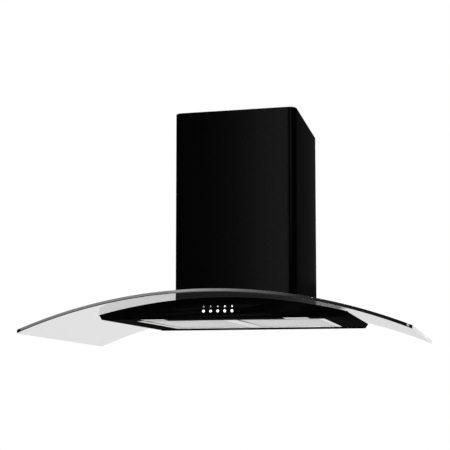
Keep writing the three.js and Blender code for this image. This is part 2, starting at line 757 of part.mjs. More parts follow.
// The wrap of the scroll with the flange that hangs it under the top plate, and two side plates
// with the round inlets.
function blowerScroll() {
  const wrapHalf = blowerHalf - blowerWall - fitGap;
  const outside = alongX(scrollOutline(0, scrollTop), [-wrapHalf, wrapHalf]);
  const inside = alongX(scrollOutline(blowerWall, scrollTop + past),
    [-wrapHalf - past, wrapHalf + past]);
  const flangeHalf = collarRadius + blowerFlangeMargin;
  const flange = block([-flangeHalf, flangeHalf],
    [collarCentreY - flangeHalf, collarCentreY + flangeHalf],
    [scrollTop - blowerFlangeThickness, scrollTop]);
  return piece("blower_scroll", cut(outside.add(flange), inside), blackPlastic);
}

function blowerSide(side, sign) {
  const top = scrollTop - blowerFlangeThickness - fitGap;
  const plate = alongX(scrollOutline(0, top), mirrored(sign, [blowerHalf - blowerWall, blowerHalf]));
  const inlet = rod("x", inletRadius, [-blowerHalf - past, blowerCentreY, blowerCentreZ],
    blowerWidth + 2 * past, roundSteps);
  return piece(`blower_side_${side}`, cut(plate, inlet), blackPlastic);
}

const drum = (from, length, radius) =>
  rod("x", radius, [from, blowerCentreY, blowerCentreZ], length, impellerBlades);

// The middle disc of the impeller with its hub, which sits on the shaft.
function impellerDisc() {
  const disc = drum(-impellerSheet / 2, impellerSheet, impellerRadius);
  const hub = drum(-hubLength / 2, hubLength, hubRadius);
  const bore = drum(-hubLength, 2 * hubLength, shaftRadius + fitGap);
  return piece("impeller_disc", cut(disc.add(hub), bore), greyPlastic);
}

// A cage of blades on each side of the disc, held together by a ring at its outer end.
function impellerCage(side, sign) {
  const half = impellerWidth / 2;
  const inner = impellerSheet / 2 + fitGap;
  const ringX = mirrored(sign, [half - impellerSheet, half]);
  const ring = cut(drum(ringX[0], impellerSheet, impellerRadius),
    drum(ringX[0] - past, impellerSheet + 2 * past, impellerRadius - bladeDepth));
  const bladeX = mirrored(sign, [inner, half - impellerSheet / 2]);
  const blades = Array.from({ length: impellerBlades }, (_, i) => {
    const blade = new THREE.BoxGeometry(bladeX[1] - bladeX[0], bladeDepth, bladeThickness);
    blade.rotateX(THREE.MathUtils.degToRad(bladeAngle));
    blade.translate((bladeX[0] + bladeX[1]) / 2, impellerRadius - bladeDepth / 2, 0);
    blade.rotateX((2 * Math.PI * (i + 0.5)) / impellerBlades);
    blade.translate(0, blowerCentreY, blowerCentreZ);
    return solid(blade);
  });
  return piece(`impeller_cage_${side}`, union([ring, ...blades]), greyPlastic);
}

function motorShaft() {
  const from = motorNearEnd - shaftInMotor;
  return piece("motor_shaft", rod("x", shaftRadius, [from, blowerCentreY, blowerCentreZ],
    hubLength / 2 + shaftPastHub - from), brightMetal);
}

function fanMotor() {
  const far = motorNearEnd - motorLength;
  const profile = [[0, far], [motorRadius - motorBevel, far], [motorRadius, far + motorBevel],
    [motorRadius, motorNearEnd - motorBevel], [motorRadius - motorBevel, motorNearEnd],
    [0, motorNearEnd]];
  const can = new THREE.LatheGeometry(profile.map(([r, l]) => new THREE.Vector2(r, l)), roundSteps);
  can.rotateZ(-Math.PI / 2);
  can.translate(0, blowerCentreY, blowerCentreZ);
  const bore = rod("x", shaftRadius + fitGap,
    [motorNearEnd - shaftInMotor - shaftPastHub, blowerCentreY, blowerCentreZ], motorLength);
  return piece("fan_motor", solid(can).subtract(bore), blackPlastic);
}

// A ring clamped round the motor, with three arms screwed to the side of the blower casing.
function motorBracket() {
  const from = -blowerHalf - fitGap - motorArmThickness;
  const disc = (radius) =>
    rod("x", radius, [from, blowerCentreY, blowerCentreZ], motorArmThickness, roundSteps);
  const arms = Array.from({ length: motorArms }, (_, i) => {
    const arm = new THREE.BoxGeometry(motorArmThickness, motorArmReach, motorArmWidth);
    arm.translate(from + motorArmThickness / 2, motorArmReach / 2, 0);
    arm.rotateX(Math.PI / 2 + (i * 2 * Math.PI) / motorArms);
    arm.translate(0, blowerCentreY, blowerCentreZ);
    return solid(arm);
  });
  const ring = union([disc(motorRadius + motorRingWidth), ...arms]);
  const room = rod("x", motorRadius + fitGap, [from - past, blowerCentreY, blowerCentreZ],
    motorArmThickness + 2 * past, roundSteps);
  return piece("motor_bracket", cut(ring, room), zincSteel);
}

function capacitor() {
  const x = housingHalf - housingSheet - capacitorSideGap - capacitorRadius;
  const y = -housingBack - housingSheet - 2 * fitGap - capacitorRadius;
  return piece("run_capacitor", rod("z", capacitorRadius, [x, y, capacitorHeight],
    capacitorLength, roundSteps), greyPlastic);
}

// ---------------------------------------------------------------- outlet collar and flaps

const boreRadius = collarRadius - collarWall;
const collarSeat = housingTop + fitGap;
const axleZ = collarSeat + flapAxleRise;
const flapTop = axleZ - flapDrop;
const flapRadius = boreRadius - flapEdgeGap;

function outletCollar() {
  const upright = (radius, from, length) =>
    rod("z", radius, [0, collarCentreY, from], length, collarSteps);
  const tube = upright(collarRadius, collarSeat, collarHeight);
  const flange = upright(collarRadius + collarFlange, collarSeat, collarFlangeThickness);
  const bore = upright(boreRadius, collarSeat - past, collarHeight + 2 * past);
  const axleHole = rod("x", flapAxleRadius + fitGap / 2,
    [-collarRadius - past, collarCentreY, axleZ], 2 * (collarRadius + past));
  const stopTop = flapTop - flapThickness - fitGap;
  const stops = [-1, 1].map((sign) => {
    const outer = sign * (boreRadius + collarWall / 4);
    const inner = sign * (boreRadius - flapStopReach);
    return block([-flapStopWidth / 2, flapStopWidth / 2],
      [collarCentreY + Math.min(outer, inner), collarCentreY + Math.max(outer, inner)],
      [stopTop - flapStopHeight, stopTop]);
  });
  return piece("outlet_collar", union([cut(tube.add(flange), bore, axleHole), ...stops]),
    blackPlastic);
}

function flapAxle() {
  return piece("flap_axle", rod("x", flapAxleRadius, [-collarRadius + fitGap, collarCentreY, axleZ],
    2 * (collarRadius - fitGap), pinSteps), brightMetal);
}

// Half a disc that hangs on the axle by two knuckles. `sign` is the side of the axle it lies on.
function flap(name, sign, knuckleCentres) {
  const disc = rod("z", flapRadius, [0, collarCentreY, flapTop - flapThickness], flapThickness,
    collarSteps);
  const otherSide = sign > 0 ? [collarCentreY - collarRadius, collarCentreY + flapHingeOffset]
    : [collarCentreY - flapHingeOffset, collarCentreY + collarRadius];
  const half = cut(disc, block([-collarRadius, collarRadius], otherSide, grow([axleZ, axleZ],
    flapAxleRise)));
  const knuckles = knuckleCentres.map((x) => {
    const from = x - flapKnuckleLength / 2;
    const barrel = rod("x", flapKnuckleRadius, [from, collarCentreY, axleZ], flapKnuckleLength);
    const reach = sign > 0 ? [collarCentreY, collarCentreY + flapHingeOffset + past]
      : [collarCentreY - flapHingeOffset - past, collarCentreY];
    const tab = block([from, from + flapKnuckleLength], reach, [flapTop - flapThickness, flapTop]);
    return barrel.add(tab);
  });
  const bore = rod("x", flapKnuckleBore, [-flapRadius, collarCentreY, axleZ], 2 * flapRadius,
    pinSteps);
  return piece(name, cut(union([half, ...knuckles]), bore), blackPlastic);
}

// ---------------------------------------------------------------- terminal box

function terminalPieces() {
  const left = -housingHalf + terminalSideInset;
  const front = -housingFront + terminalFrontInset;
  const x = [left, left + terminalWidth];
  const y = [front, front + terminalDepth];
  const bottom = housingTop + fitGap;
  const top = bottom + terminalHeight;
  const shell = block(x, y, [bottom, top]);
  const inside = block(grow(x, -terminalWall), grow(y, -terminalWall),
    [bottom + terminalWall, top + past]);
  const cover = block(x, y, [top + fitGap, top + fitGap + terminalCoverThickness]);

  const glandY = front + terminalDepth / 2;
  const glandZ = bottom + terminalHeight / 2;
  const along = (radius, [from, to], steps) =>
    rod("x", radius, [from, glandY, glandZ], to - from, steps);
  const outside = x[1] + fitGap;
  const neckEnd = x[1] - terminalWall - glandNeckProud;
  const glandHole = along(glandNeckRadius + fitGap, grow([x[1] - terminalWall, x[1]], past));
  const nut = along(glandNutRadius, [outside, outside + glandNutLength], glandNutSides);
  const barrel = along(glandRadius, [outside, outside + glandLength]);
  const neck = along(glandNeckRadius, [neckEnd, outside + past]);
  const glandHollow = along(glandBore, grow([neckEnd, outside + glandLength], past));
  return [
    piece("terminal_box", cut(shell, inside, glandHole), blackPlastic),
    piece("terminal_cover", cover, blackPlastic),
    piece("cable_gland", cut(union([nut, barrel, neck]), glandHollow), blackPlastic),
  ];
}

// ---------------------------------------------------------------- chimney

// A cover's plan: three sides with rounded front corners, drawn in by `inset` all round.
function coverPlan(inset) {
  const half = chimneyWidth / 2 - inset;
  const front = -chimneyDepth + inset;
  const back = -chimneyBackGap - (inset > 0 ? inset : 0);
  const r = chimneyCornerRadius - inset;
  const shape = new THREE.Shape();
  shape.moveTo(-half + r, front);
  shape.lineTo(half - r, front);
  shape.absarc(half - r, front + r, r, -Math.PI / 2, 0, false);
  shape.lineTo(half, back);
  shape.lineTo(-half, back);
  shape.lineTo(-half, front + r);
  shape.absarc(-half + r, front + r, r, Math.PI, 1.5 * Math.PI, false);
  return shape;
}

function cover(name, inset, [z0, z1]) {
  const throughCover = grow([z0, z1], past);
  const outside = alongZ(coverPlan(inset), [z0, z1], cornerSteps);
  const inside = alongZ(coverPlan(inset + chimneySheet), throughCover, cornerSteps);
  const backHalf = chimneyWidth / 2 - chimneyReturn;
  const backSlot = block([-backHalf, backHalf], [-chimneyCornerRadius, 0], throughCover);
  const glassRoom = alongY(
    archColumn(chimneyWidth / 2 + past, glassTop + chimneyGlassGap, z0 - wellPast),
    [-chimneyDepth - past, past]);
  return piece(name, cut(outside, inside, backSlot, glassRoom), blackPaint);
}

const outerCoverBottom = glassCrown / 2;     // below all of the glass that the cover stands on
const innerCoverBottom = clampTop + fitGap;
const innerCoverInset = chimneySheet + innerCoverGap;

// A strip on the wall whose ears guide the turned-in flanges of the covers.
function chimneyBracket() {
  const top = chimneyTop - chimneyBracketTopDrop;
  const z = [top - chimneyBracketHeight, top];
  const half = chimneyWidth / 2 - chimneyReturn - 2 * fitGap;
  const strip = block([-half, half], [-bracketSheet, 0], z);
  const ears = sides.map(([, sign]) =>
    block(mirrored(sign, [half - bracketSheet, half]), [-chimneyBracketEar, 0], z));
  const holes = [-1, 1].map((sign) => rod("y", wallHoleRadius,
    [(sign * half) / 2, -bracketSheet - past, (z[0] + z[1]) / 2], bracketSheet + 2 * past));
  return piece("chimney_bracket", cut(union([strip, ...ears]), ...holes), zincSteel);
}

// ---------------------------------------------------------------- the hood

const hood = new THREE.Group();

hood.add(glassCanopy(), glassGasket(), bodyTray(), controlPanel());
hood.add(...buttonPlaces.map(([name, x]) => pushButton(name, x)), switchBlock(), switchBoard());
hood.add(filterFrame());
for (const [side, sign] of sides) {
  hood.add(filterChannel(side, sign), filterMesh(side, sign), filterHandle(side, sign));
  clipPlaces.forEach((place, i) =>
    hood.add(filterClip(`filter_clip_${side}_${i + 1}`, sign * filterMiddle + place)));
  hood.add(...lampPieces(side, sign));
}
hood.add(motorHousing(), housingTopPlate(), housingBackPlate(), wallBracket(), clampFrame());
hood.add(...screwPlaces.map(([name, x, y]) => glassScrew(name, x, y)));
hood.add(blowerScroll(), impellerDisc());
for (const [side, sign] of sides) hood.add(blowerSide(side, sign), impellerCage(side, sign));
hood.add(motorShaft(), fanMotor(), motorBracket(), capacitor());
hood.add(outletCollar(), flapAxle());
hood.add(flap("flap_front", -1, [-flapKnuckleOuterX, flapKnuckleInnerX]));
hood.add(flap("flap_rear", 1, [-flapKnuckleInnerX, flapKnuckleOuterX]));
hood.add(...terminalPieces());
hood.add(cover("chimney_outer", 0, [outerCoverBottom, chimneyTop]));
hood.add(cover("chimney_inner", innerCoverInset,
  [innerCoverBottom, chimneyTop - innerCoverTopDrop]));
hood.add(chimneyBracket());

hood.position.z = -wallBracketCentre;

const range_hood = new THREE.Group();
range_hood.add(hood);

export default range_hood;
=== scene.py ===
# Curved glass range hood in black, hung on a wall, in a plain white studio.
# Metres, +X to the right, +Y into the wall, +Z up. The sections follow the hood as it is put
# together: what is on the wall, the motor housing and what it holds, the body under the glass,
# the glass, the chimney, and last the studio.

import math

import bmesh
import bpy
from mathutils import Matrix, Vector


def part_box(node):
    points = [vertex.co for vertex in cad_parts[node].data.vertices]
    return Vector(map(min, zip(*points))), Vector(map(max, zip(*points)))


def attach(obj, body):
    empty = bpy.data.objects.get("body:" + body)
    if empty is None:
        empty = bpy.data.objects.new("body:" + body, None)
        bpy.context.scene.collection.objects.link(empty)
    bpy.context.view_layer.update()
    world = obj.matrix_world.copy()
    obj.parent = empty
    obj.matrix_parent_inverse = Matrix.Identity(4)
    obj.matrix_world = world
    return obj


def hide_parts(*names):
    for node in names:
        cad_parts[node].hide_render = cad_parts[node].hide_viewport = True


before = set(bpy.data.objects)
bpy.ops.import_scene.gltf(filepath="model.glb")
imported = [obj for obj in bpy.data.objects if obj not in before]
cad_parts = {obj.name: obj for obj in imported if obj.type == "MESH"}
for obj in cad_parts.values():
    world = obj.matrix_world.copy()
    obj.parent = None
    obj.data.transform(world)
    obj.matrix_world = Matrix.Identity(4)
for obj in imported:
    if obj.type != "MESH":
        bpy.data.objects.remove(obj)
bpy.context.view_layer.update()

# ---------------------------------------------------------------- wall bracket, chimney bracket
# Two brackets screwed to the wall before the hood is lifted on: one carries the motor housing on
# its hooks, the other guides the chimney covers. Both are pressed from zinc plated sheet steel.

MM = 0.001                       # a millimetre, in metres
WELD_DISTANCE = 0.01 * MM        # corners of a solid closer than this are one corner
FLAT_ANGLE = math.radians(0.5)   # facets that meet at less than this are one face


def linear(hex_colour):
    """An sRGB colour such as "#9fa3a6" as the linear red, green, blue and alpha that nodes take."""
    shares = [int(hex_colour[i:i + 2], 16) / 255 for i in (1, 3, 5)]
    return [s / 12.92 if s <= 0.04045 else ((s + 0.055) / 1.055) ** 2.4 for s in shares] + [1.0]


def add(owner, kind, inputs=None, **settings):
    """Adds a node to a material or a world. Inputs that are sockets are linked, the others set."""
    node = owner.node_tree.nodes.new(kind)
    for name, value in settings.items():
        setattr(node, name, value)
    for name, value in (inputs or {}).items():
        if isinstance(value, bpy.types.NodeSocket):
            owner.node_tree.links.new(value, node.inputs[name])
        else:
            node.inputs[name].default_value = value
    return node


def surface(name, colour, **values):
    """A new material with its shader's values, and the object's own coordinates in metres."""
    material = bpy.data.materials.new(name)
    material.use_nodes = True
    shader = material.node_tree.nodes["Principled BSDF"]
    shader.inputs["Base Color"].default_value = linear(colour)
    for socket, value in values.items():
        shader.inputs[socket.replace("_", " ")].default_value = value
    return material, add(material, "ShaderNodeTexCoord").outputs["Object"]


def feed(material, socket, output):
    """Links a node's output to an input of the material's own shader."""
    shader = material.node_tree.nodes["Principled BSDF"]
    material.node_tree.links.new(output, shader.inputs[socket])


def noise(material, place, size, detail=2.0):
    """Cloudy noise from 0 to 1, with spots about `size` across."""
    return add(material, "ShaderNodeTexNoise", {"Vector": place, "Scale": 1 / size,
                                                "Detail": detail}).outputs["Fac"]


def mapped(owner, value, span=(0.0, 1.0), onto=(0.0, 1.0), **settings):
    """A value that runs over `span`, made to run over `onto`."""
    return add(owner, "ShaderNodeMapRange", {
        "Value": value, "From Min": span[0], "From Max": span[1],
        "To Min": onto[0], "To Max": onto[1]}, **settings).outputs["Result"]


def tones(material, factor, *stops):
    """A colour ramp over `factor`, from (position, colour) stops."""
    ramp = add(material, "ShaderNodeValToRGB", {"Fac": factor})
    while len(ramp.color_ramp.elements) < len(stops):
        ramp.color_ramp.elements.new(0.5)
    for element, (position, colour) in zip(ramp.color_ramp.elements, stops):
        element.position = position
        element.color = linear(colour)
    return ramp.outputs["Color"]


def raise_relief(material, height, strength, distance, socket="Normal"):
    """Fine bumps, at full `strength` `distance` high where `height` is 1."""
    bump = add(material, "ShaderNodeBump", {"Height": height, "Strength": strength,
                                            "Distance": distance})
    feed(material, socket, bump.outputs["Normal"])


def new_piece(name, shell):
    """An object in the scene from a finished bmesh."""
    mesh = bpy.data.meshes.new(name)
    shell.to_mesh(mesh)
    shell.free()
    piece = bpy.data.objects.new(name, mesh)
    bpy.context.collection.objects.link(piece)
    return piece


def rounded(piece, width, segments=2, angle=35):
    """Smooth shading with eased edges, as a press, a mould or a deburring wheel leaves them."""
    for polygon in piece.data.polygons:
        polygon.use_smooth = True
    bevel = piece.modifiers.new("eased edges", "BEVEL")
    bevel.width = width
    bevel.segments = segments
    bevel.limit_method = "ANGLE"
    bevel.angle_limit = math.radians(angle)
    bevel.harden_normals = True
    return piece


def dressed(piece, body, material, slot, *replaced):
    piece.data.materials.append(material)
    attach(piece, body)
    if replaced:
        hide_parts(*replaced)
    return piece


def refined(name, body, material, slot, width, segments=2):
    """A solid's form with its coplanar facets joined and its edges eased, as a new piece."""
    shell = bmesh.new()
    shell.from_mesh(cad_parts[name].data)
    bmesh.ops.remove_doubles(shell, verts=shell.verts, dist=WELD_DISTANCE)
    bmesh.ops.dissolve_limit(shell, angle_limit=FLAT_ANGLE, verts=shell.verts, edges=shell.edges)
    piece = rounded(new_piece(name + "_finished", shell), width, segments)
    return dressed(piece, body, material, slot, name)


# Zinc plated steel: bright blue-grey metal with a faint cloudy grain from the plating bath and
# fine rolling lines, which break the reflections up softly.
zinc, place = surface("zinc_plated_steel", "#a7abae", Metallic=1.0)
cloud = noise(zinc, place, size=18 * MM, detail=4.0)
feed(zinc, "Base Color", tones(zinc, cloud, (0.3, "#989ca0"), (0.7, "#b8bbbd")))
feed(zinc, "Roughness", mapped(zinc, cloud, onto=(0.34, 0.52)))
rolled = add(zinc, "ShaderNodeMapping", {"Vector": place, "Scale": (1.0, 1.0, 0.04)})
lines = noise(zinc, rolled.outputs["Vector"], size=1.2 * MM)
raise_relief(zinc, lines, strength=0.12, distance=0.05 * MM)

for name in ("wall_bracket", "chimney_bracket"):
    refined(name, "hood", zinc, "zinc_steel", width=0.5 * MM)

# ---------------------------------------------------------------- motor housing
# A box of three zinc plated sheets riveted together: shell, top plate and back plate. It hangs
# on the wall bracket and carries everything else.

for name in ("motor_housing", "housing_top_plate", "housing_back_plate"):
    refined(name, "hood", zinc, "zinc_steel", width=0.35 * MM)


def turned(name, profile, steps, axis, centre):
    """A closed profile of (radius, height) points turned round an axis through `centre`."""
    ends = {"x": Vector((1, 0, 0)), "y": Vector((0, 1, 0)), "z": Vector((0, 0, 1))}
    along = ends[axis]
    across = ends["z"] if axis != "z" else ends["x"]
    other = along.cross(across)
    shell = bmesh.new()
    rings = []
    for radius, height in profile:
        if radius == 0:
            rings.append([shell.verts.new(centre + along * height)])
            continue
        rings.append([
            shell.verts.new(centre + along * height
                            + across * radius * math.cos(2 * math.pi * i / steps)
                            + other * radius * math.sin(2 * math.pi * i / steps))
            for i in range(steps)])
    for low, high in zip(rings, rings[1:]):
        for i in range(steps):
            j = (i + 1) % steps
            corners = [low[i % len(low)], low[j % len(low)], high[j % len(high)],
                       high[i % len(high)]]
            shell.faces.new(dict.fromkeys(corners))
    bmesh.ops.recalc_face_normals(shell, faces=shell.faces)
    return new_piece(name, shell)


# Eight pop rivets with domed heads hold the top plate to the shell, four along each side.
RIVET_RADIUS = 2.4 * MM
RIVET_RISE = 1.1 * MM
RIVET_SINK = 0.2 * MM            # into the plate
RIVET_INSET = 6 * MM             # from the plate's edge
RIVETS_PER_SIDE = 4
RIVET_STEPS = 20
RIVET_ANGLES = (0, 20, 40, 60, 80)
dome = [(RIVET_RADIUS * math.cos(a), RIVET_RISE * math.sin(a))
        for a in map(math.radians, RIVET_ANGLES)]
rivet_profile = [(0, -RIVET_SINK), (RIVET_RADIUS, -RIVET_SINK)] + dome + [(0, RIVET_RISE)]
top_low, top_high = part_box("housing_top_plate")
for side, x in (("left", top_low.x + RIVET_INSET), ("right", top_high.x - RIVET_INSET)):
    for i in range(RIVETS_PER_SIDE):
        y = top_low.y + (top_high.y - top_low.y) * (i + 0.5) / RIVETS_PER_SIDE
        rivet = turned(f"top_plate_rivet_{side}_{i + 1}", rivet_profile, RIVET_STEPS, "z",
                       Vector((x, y, top_high.z)))
        dressed(rounded(rivet, width=0.05 * MM, segments=1), "hood", zinc, "zinc_steel")

# ---------------------------------------------------------------- blower
# A scroll casing of moulded black nylon under the top plate, and in it a drum impeller of grey
# plastic that the motor on the left drives. A bracket of sheet steel clamps the motor.


def finish_on(names, material):
    """Gives a material to solids that are shown as they are."""
    for name in names:
        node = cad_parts[name]
        node.data.materials.clear()
        node.data.materials.append(material)


# Moulded nylon: deep grey-black with a fine spark-eroded texture, so highlights spread wide.
nylon, place = surface("moulded_black_nylon", "#17181a", IOR=1.53)
grain = noise(nylon, place, size=0.6 * MM, detail=3.0)
feed(nylon, "Base Color", tones(nylon, grain, (0.35, "#141517"), (0.65, "#1d1e21")))
feed(nylon, "Roughness", mapped(nylon, grain, onto=(0.42, 0.6)))
raise_relief(nylon, grain, strength=0.2, distance=0.04 * MM)

# Moulded grey plastic: pale mid grey, even, with a low satin shine.
grey, place = surface("moulded_grey_plastic", "#6d7073", IOR=1.5)
grain = noise(grey, place, size=1.5 * MM, detail=3.0)
feed(grey, "Base Color", tones(grey, grain, (0.3, "#66696c"), (0.7, "#74777a")))
feed(grey, "Roughness", mapped(grey, grain, onto=(0.45, 0.6)))
raise_relief(grey, grain, strength=0.15, distance=0.04 * MM)

# Nickel plated shafts: bright, slightly warm metal whose shine changes a little from spot to
# spot, as grinding leaves it.
nickel, place = surface("nickel_plated_steel", "#d6d4cf", Metallic=1.0)
feed(nickel, "Roughness", mapped(nickel, noise(nickel, place, size=0.8 * MM), onto=(0.14, 0.26)))

finish_on(("blower_scroll", "blower_side_left", "blower_side_right", "fan_motor"), nylon)
finish_on(("impeller_disc", "impeller_cage_left", "impeller_cage_right", "run_capacitor"), grey)
finish_on(("motor_bracket",), zinc)
finish_on(("motor_shaft",), nickel)

# ---------------------------------------------------------------- outlet collar and flaps
# A moulded nylon collar on the top plate, which a 150 mm duct slides over, with two half-round
# flaps on a steel axle that fall shut when the fan stops.

refined("outlet_collar", "hood", nylon, "black_plastic", width=0.5 * MM)
refined("flap_front", "flap_front", nylon, "black_plastic", width=0.25 * MM)
refined("flap_rear", "flap_rear", nylon, "black_plastic", width=0.25 * MM)
refined("flap_axle", "hood", nickel, "chrome_trim", width=0.2 * MM)

# ---------------------------------------------------------------- terminal box
# A moulded nylon box on the top plate where the mains lead is joined, with a screwed cover and a
# cable gland in its right side.

refined("terminal_box", "hood", nylon, "black_plastic", width=0.8 * MM)
refined("terminal_cover", "hood", nylon, "black_plastic", width=0.8 * MM)
refined("cable_gland", "hood", nylon, "black_plastic", width=0.4 * MM)

# ---------------------------------------------------------------- body tray
# A shallow tray folded from steel sheet, arched on top to carry the glass and flat below, with
# openings for filters and lamps. It is powder coated in gloss black.

# Gloss black powder coat: a nearly black ground under a thin clear shine, so that only a lamp
# is mirrored. Its fine orange peel is 1 to 2 mm across.
black, place = surface("gloss_black_powder_coat", "#020202", Roughness=0.4,
                       Specular_IOR_Level=0.0, Coat_Weight=0.01, Coat_Roughness=0.17)
peel = noise(black, place, size=1.6 * MM)
raise_relief(black, peel, strength=0.03, distance=0.02 * MM, socket="Coat Normal")
feed(black, "Base Color", tones(black, peel, (0.3, "#000000"), (0.7, "#020202")))

refined("body_tray", "hood", black, "black_paint", width=0.6 * MM)


def solid(name, *loops):
    """A closed mesh of loops with as many points each, joined in turn and capped at both ends."""
    shell = bmesh.new()
    rows = [[shell.verts.new(point) for point in loop] for loop in loops]
    shell.faces.new(rows[0])
    shell.faces.new(rows[-1])
    count = len(rows[0])
    for low, high in zip(rows, rows[1:]):
        for i in range(count):
            j = (i + 1) % count
            shell.faces.new((low[i], low[j], high[j], high[i]))
    bmesh.ops.recalc_face_normals(shell, faces=shell.faces)
    return new_piece(name, shell)


# The back edge of the sheet is turned down in a narrow lip that stiffens it.
LIP_DROP = 1.3 * MM
LIP_OVERLAP = 0.3 * MM           # up into the tray
LIP_SHEET = 1.2 * MM
LIP_END = 6 * MM                 # from the tray's side edge
tray_low, tray_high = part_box("body_tray")
lip_half = tray_high.x - LIP_END
lip_section = ((0, LIP_OVERLAP), (LIP_SHEET, LIP_OVERLAP), (LIP_SHEET, -LIP_DROP), (0, -LIP_DROP))
lip = solid("tray_back_lip", *([Vector((x, tray_high.y - depth, tray_low.z + rise))
                                for depth, rise in lip_section] for x in (-lip_half, lip_half)))
dressed(rounded(lip, width=0.3 * MM), "hood", black, "black_paint")

# ---------------------------------------------------------------- control panel and buttons
# The front of the body: a panel of moulded plastic, lacquered in deep gloss black, with five
# push buttons and a small printed mark above each. The switch block and its board sit behind.

# Deep black lacquer: even black with a soft, weak shine.
lacquer, place = surface("deep_black_lacquer", "#020202", Roughness=0.3, Specular_IOR_Level=0.0,
                         Coat_Weight=0.008, Coat_Roughness=0.22)
haze = noise(lacquer, place, size=30 * MM, detail=3.0)
feed(lacquer, "Base Color", tones(lacquer, haze, (0.3, "#010101"), (0.7, "#030303")))
refined("control_panel", "hood", lacquer, "black_panel", width=0.5 * MM, segments=3)

# Chrome: the brightest metal on the hood, with a soft sheen rather than a sharp mirror image.
chrome, place = surface("polished_chrome", "#e6e7e7", Metallic=1.0)
wiped = noise(chrome, place, size=2.5 * MM, detail=3.0)
feed(chrome, "Roughness", mapped(chrome, wiped, onto=(0.24, 0.32)))

# Each button is a turned stem with a flange behind the panel and a head with a domed face. Only
# the middle of the face is chromed, and the rest is bare black nylon.
BUTTONS = 5
BUTTON_RADIUS = 3.5 * MM
BUTTON_EDGE = 0.5 * MM           # radius of the rounding round the face
BUTTON_DOME = 0.3 * MM           # the face's middle stands this far in front of its edge
CHROME_RADIUS = 2.6 * MM
CHROME_DEPTH = 1 * MM
FLANGE_RADIUS = 5 * MM
FLANGE_THICKNESS = 1 * MM
STEM_RADIUS = 2 * MM
STEM_LENGTH = 9 * MM
DOME_STEPS = 6
RIM_ANGLES = (22, 45, 68, 90)
BUTTON_STEPS = 40
face_radius = BUTTON_RADIUS - BUTTON_EDGE
face = [(face_radius * s / DOME_STEPS, BUTTON_DOME * (s / DOME_STEPS) ** 2)
        for s in range(DOME_STEPS + 1)]
rim = [(face_radius + BUTTON_EDGE * math.sin(a), BUTTON_DOME + BUTTON_EDGE * (1 - math.cos(a)))
       for a in map(math.radians, RIM_ANGLES)]
button_centres = []
for i in range(BUTTONS):
    low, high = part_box(f"push_button_{i + 1}")
    centre = Vector(((low.x + high.x) / 2, low.y, (low.z + high.z) / 2))
    button_centres.append(centre)
    depth = high.y - low.y
    flange_end = depth - STEM_LENGTH
    flange_start = flange_end - FLANGE_THICKNESS
    stem = [(BUTTON_RADIUS, flange_start), (FLANGE_RADIUS, flange_start),
            (FLANGE_RADIUS, flange_end), (STEM_RADIUS, flange_end), (STEM_RADIUS, depth),
            (0, depth)]
    button = turned(f"chrome_button_{i + 1}", face + rim + stem, BUTTON_STEPS, "y", centre)
    rounded(button, width=0.1 * MM, segments=1, angle=50)
    dressed(button, f"button_{i + 1}", chrome, "chrome_trim", f"push_button_{i + 1}")
    button.data.materials.append(nylon)
    for polygon in button.data.polygons:
        radius = math.hypot(polygon.center.x - centre.x, polygon.center.z - centre.z)
        chromed = radius < CHROME_RADIUS and polygon.center.y < low.y + CHROME_DEPTH
        polygon.material_index = 0 if chromed else 1


def ink(name, colour):
    """Pad printed ink: flat and matt, in one pale tone, with a slightly uneven shine."""
    material, place = surface(name, colour, Roughness=0.5)
    speck = noise(material, place, size=0.4 * MM)
    feed(material, "Roughness", mapped(material, speck, onto=(0.4, 0.6)))
    return material


def ring(count, radius_x, radius_z, turn=0.0):
    """Points round an ellipse, or the corners of an even shape, from the angle `turn` on."""
    return [(radius_x * math.cos(turn + 2 * math.pi * i / count),
             radius_z * math.sin(turn + 2 * math.pi * i / count)) for i in range(count)]


# The marks are plain shapes, one to each button. Ink is about 0.02 mm thick; it is drawn 0.08 mm
# thick so that it stands clear of the lacquer.
MARK_RISE = 9 * MM               # above the button's middle
TRIANGLE_SIZE = 2.5 * MM         # from the middle to a corner, as for the diamond
DIAMOND_SIZE = 1.9 * MM
DOT_RADIUS = 1.7 * MM
OVAL_HALF_WIDTH = 1.3 * MM
OVAL_HALF_HEIGHT = 1.95 * MM
INK_THICKNESS = 0.08 * MM
INK_SINK = 0.01 * MM
ROUND_STEPS = 28
dim_ink = ink("dim_grey_ink", "#7c7c7c")
pale_ink = ink("pale_grey_ink", "#c4c4c4")
white_ink = ink("white_ink", "#f0f0f0")
up = math.pi / 2
marks = (
    (ring(3, TRIANGLE_SIZE, TRIANGLE_SIZE, up), dim_ink),
    (ring(3, TRIANGLE_SIZE, TRIANGLE_SIZE), dim_ink),
    (ring(4, DIAMOND_SIZE, DIAMOND_SIZE, up), pale_ink),
    (ring(ROUND_STEPS, DOT_RADIUS, DOT_RADIUS), white_ink),
    (ring(ROUND_STEPS, OVAL_HALF_WIDTH, OVAL_HALF_HEIGHT), white_ink),
)
panel_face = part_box("control_panel")[0].y
for i, ((outline, material), centre) in enumerate(zip(marks, button_centres)):
    mark = solid(f"printed_mark_{i + 1}",
                 *([Vector((centre.x + x, y, centre.z + MARK_RISE + z)) for x, z in outline]
                   for y in (panel_face + INK_SINK, panel_face - INK_THICKNESS)))
    dressed(mark, "hood", material, "frosted_lens")

# Glass-epoxy board: green solder mask, a little uneven, over woven glass.
board, place = surface("green_circuit_board", "#1f5a3a", IOR=1.5, Roughness=0.35)
weave = noise(board, place, size=1.0 * MM)
feed(board, "Base Color", tones(board, weave, (0.3, "#1b5235"), (0.7, "#246543")))
finish_on(("switch_block",), nylon)
finish_on(("switch_board",), board)

# ---------------------------------------------------------------- lamps
# A lamp on each side in front of the filters: a frosted lens pushed up into its window in the
# tray, under a grey plastic housing with its board.

SIDES = ("left", "right")

